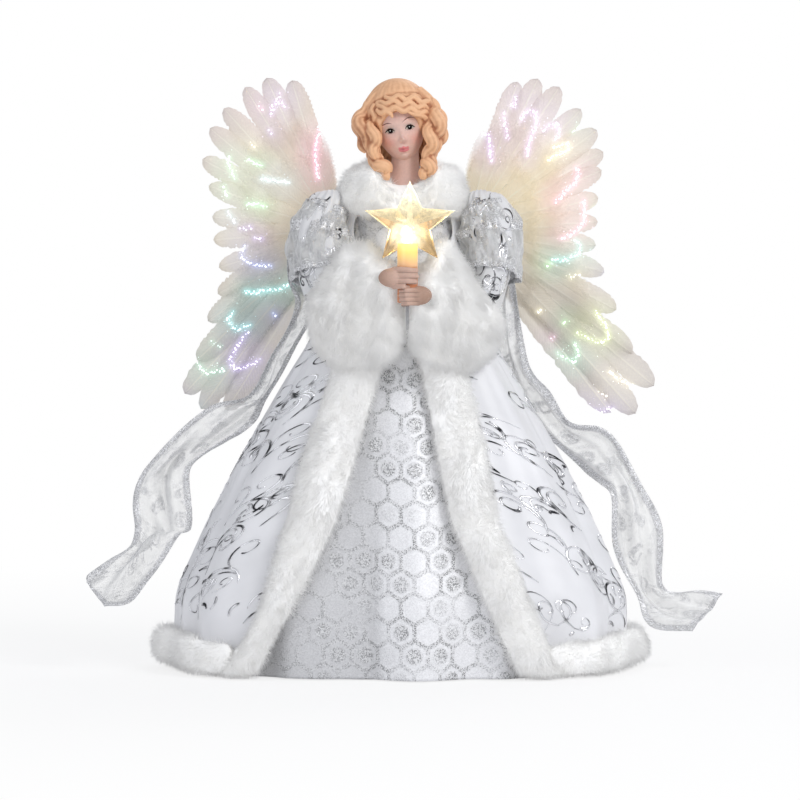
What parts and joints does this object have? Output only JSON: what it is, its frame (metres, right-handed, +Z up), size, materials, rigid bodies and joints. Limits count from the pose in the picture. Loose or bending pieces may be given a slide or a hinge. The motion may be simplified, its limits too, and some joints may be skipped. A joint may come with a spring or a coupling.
{
  "type": "angel tree topper",
  "caption": "Angel tree topper with layered feather wings lit by optical fibres, a fur-trimmed open robe over a brocade gown and a lit star on a candle.",
  "frame": {"origin": "middle of the cone's open base, on the surface that it stands on", "axes": "+X to the angel's left, -Y to the front, +Z up"},
  "size_m": [0.328, 0.1666, 0.3047],
  "materials": {
    "skin": "satin",
    "hair": "satin",
    "fur": "deep pile",
    "satin": "satin with foil",
    "brocade": "metallic brocade",
    "organza": "sheer with glitter",
    "feather": "satin",
    "clear_acrylic": "polished",
    "amber": "gloss",
    "lamp": "clear",
    "cone_plastic": "satin",
    "knob": "satin",
    "steel": "satin",
    "brass": "satin",
    "fibre": "gloss",
    "lead": "satin",
    "board": "matte",
    "cell": "gloss"
  },
  "bodies": {
    "root": {"body_cone": "cone_plastic", "bust": "skin", "hair": "hair", "bodice": "brocade", "collar": "fur", "robe": "satin", "gown_skirt": "brocade", "hem_trim": "fur", "front_trim_right": "fur", "front_trim_left": "fur", "arm_wire_right": "steel", "arm_wire_left": "steel", "right_hand": "skin", "left_hand": "skin", "sleeve_right": "satin", "sleeve_left": "satin", "cuff_right": "fur", "cuff_left": "fur", "scarf_right": "organza", "scarf_left": "organza", "candle_tube": "amber", "star_lens": "clear_acrylic", "star_led": "lamp", "star_lead": "lead", "wing_bracket": "cone_plastic", "bracket_screw_1": "steel", "bracket_screw_2": "steel", "lamp_housing": "cone_plastic", "lamp_cap": "cone_plastic", "rgb_led": "lamp", "power_lead": "lead", "battery_box": "cone_plastic", "cell_1": "cell", "cell_2": "cell", "cell_3": "cell", "contact_bottom": "steel", "contact_top": "steel", "circuit_board": "board", "box_screw_1": "steel", "box_screw_2": "steel", "wing_primaries_right": "feather", "wing_secondaries_right": "feather", "wing_coverts_right": "feather", "wing_rib_upper_right": "steel", "wing_rib_lower_right": "steel", "fibre_bundle_right": "fibre", "ferrule_right": "brass", "wing_primaries_left": "feather", "wing_secondaries_left": "feather", "wing_coverts_left": "feather", "wing_rib_upper_left": "steel", "wing_rib_lower_left": "steel", "fibre_bundle_left": "fibre", "ferrule_left": "brass"},
    "switch": {"switch_knob": "knob"},
    "cover": {"battery_cover": "cone_plastic"}
  },
  "joints": [
    {"name": "switch_slide", "type": "slide", "parent": "root", "child": "switch", "axis": [1, 0, 0], "range_m": [0, 0.004]},
    {"name": "cover_slide", "type": "slide", "parent": "root", "child": "cover", "axis": [0, 0, -1], "range_m": [0, 0.012]}
  ]
}
